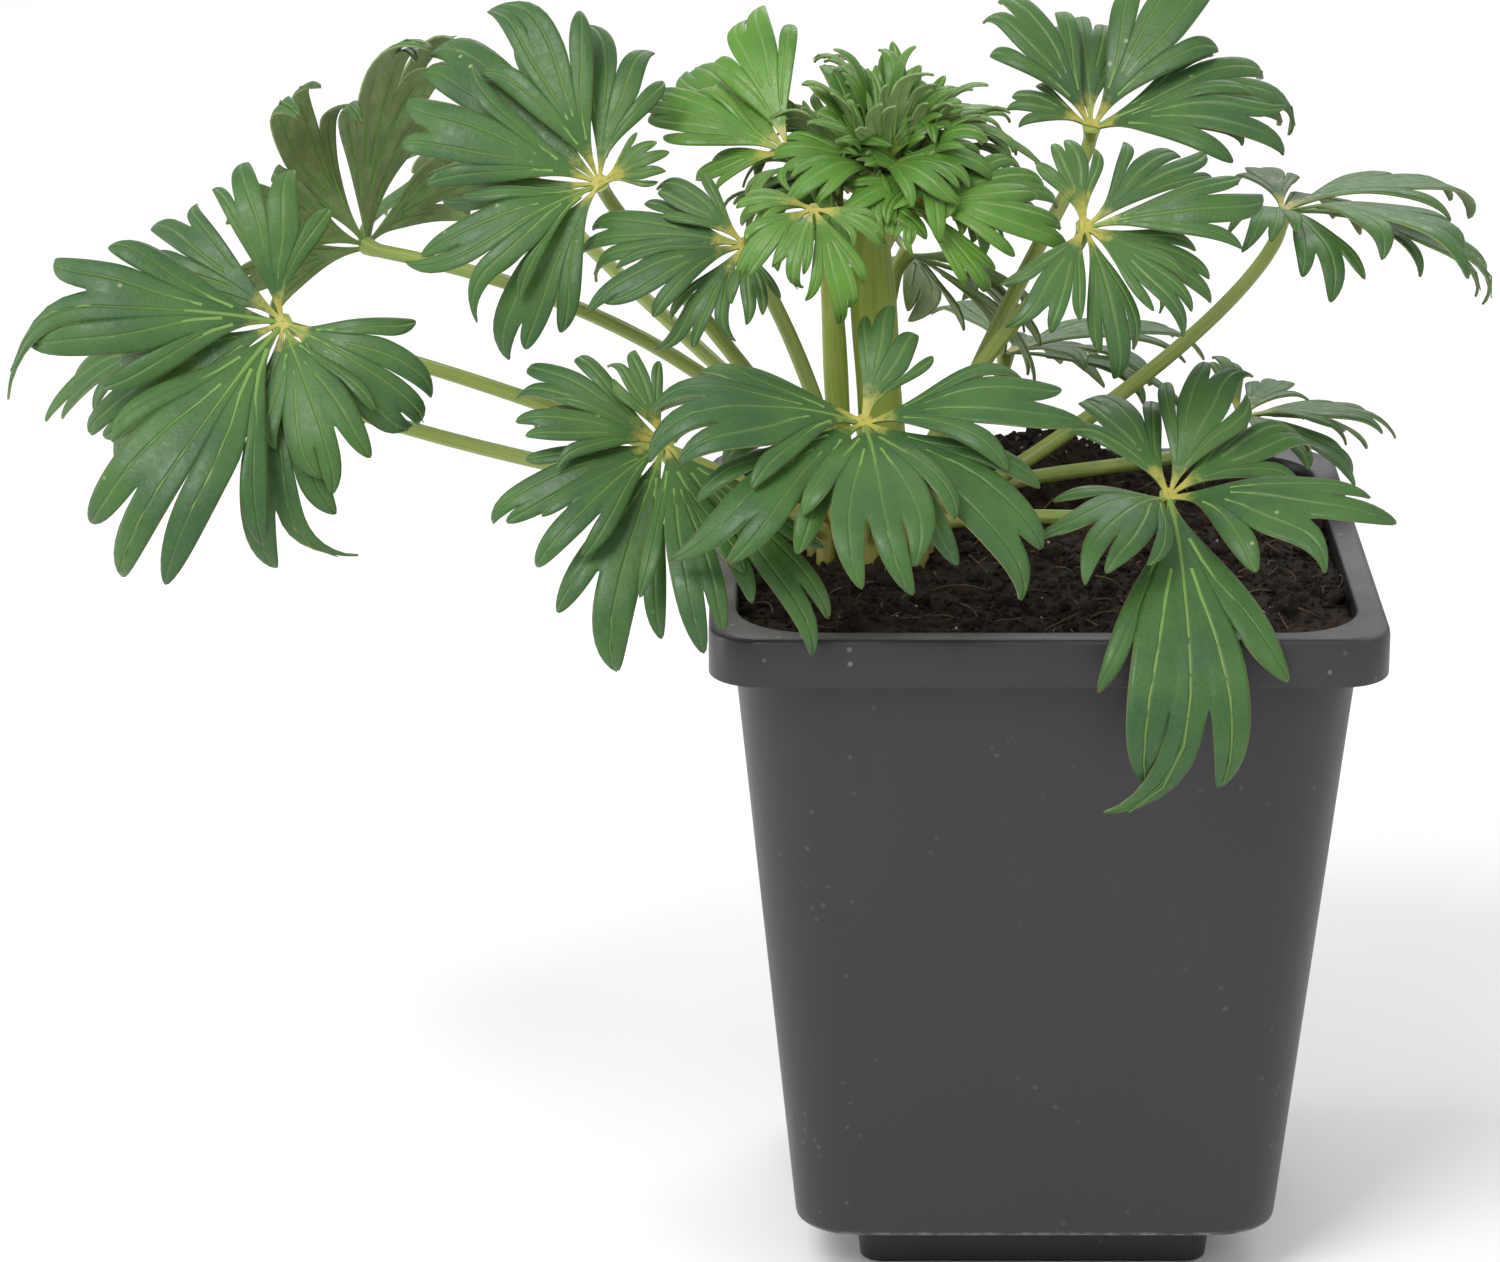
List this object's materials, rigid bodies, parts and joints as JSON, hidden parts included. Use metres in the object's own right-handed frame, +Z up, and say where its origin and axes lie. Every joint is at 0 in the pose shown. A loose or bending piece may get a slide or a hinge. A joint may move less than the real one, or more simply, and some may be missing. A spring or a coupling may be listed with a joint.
{
  "type": "potted monkshood",
  "caption": "Young leafy monkshood with deeply cut palmate leaves on long stalks, growing in a plain square dark plastic nursery pot of soil.",
  "frame": {"origin": "middle of the pot's foot, on the surface it stands on", "axes": "+Z up; +X and +Y along the sides of the square pot, with the longest leaves reaching towards -X and the pot's near side facing -Y"},
  "size_m": [0.2489, 0.1693, 0.2117],
  "materials": {
    "nursery_pot_plastic": "satin",
    "potting_soil": "matte",
    "rootstock": "matte",
    "stem_green": "satin",
    "petiole_green": "satin",
    "leaf_green": "satin",
    "young_leaf_green": "satin"
  },
  "bodies": {
    "root": {"leaf_back": "leaf_green", "leaf_back_upper": "leaf_green", "leaf_front": "leaf_green", "leaf_front_right": "leaf_green", "leaf_left_back": "leaf_green", "leaf_left_front": "leaf_green", "leaf_left_rear": "leaf_green", "leaf_left_under": "leaf_green", "leaf_left_upper": "leaf_green", "leaf_low_left": "leaf_green", "leaf_low_right": "leaf_green", "leaf_middle_left": "leaf_green", "leaf_right_end": "leaf_green", "leaf_right_top": "leaf_green", "leaf_right_upper": "leaf_green", "main_shoot": "stem_green", "nursery_pot": "nursery_pot_plastic", "petiole_back": "petiole_green", "petiole_back_upper": "petiole_green", "petiole_front": "petiole_green", "petiole_front_right": "petiole_green", "petiole_left_back": "petiole_green", "petiole_left_front": "petiole_green", "petiole_left_rear": "petiole_green", "petiole_left_under": "petiole_green", "petiole_left_upper": "petiole_green", "petiole_low_left": "petiole_green", "petiole_low_right": "petiole_green", "petiole_middle_left": "petiole_green", "petiole_right_end": "petiole_green", "petiole_right_top": "petiole_green", "petiole_right_upper": "petiole_green", "potting_soil": "potting_soil", "rootstock": "rootstock", "side_shoot": "stem_green", "stalk_young_hanging": "petiole_green", "stalk_young_left": "petiole_green", "stalk_young_right": "petiole_green", "stalk_young_right_high": "petiole_green", "young_leaf_hanging": "young_leaf_green", "young_leaf_left": "young_leaf_green", "young_leaf_right": "young_leaf_green", "young_leaf_right_high": "young_leaf_green", "young_leaf_tip_back": "young_leaf_green", "young_leaf_tip_left": "young_leaf_green", "young_leaf_tip_middle": "young_leaf_green", "young_leaf_tip_right": "young_leaf_green"}
  },
  "joints": []
}
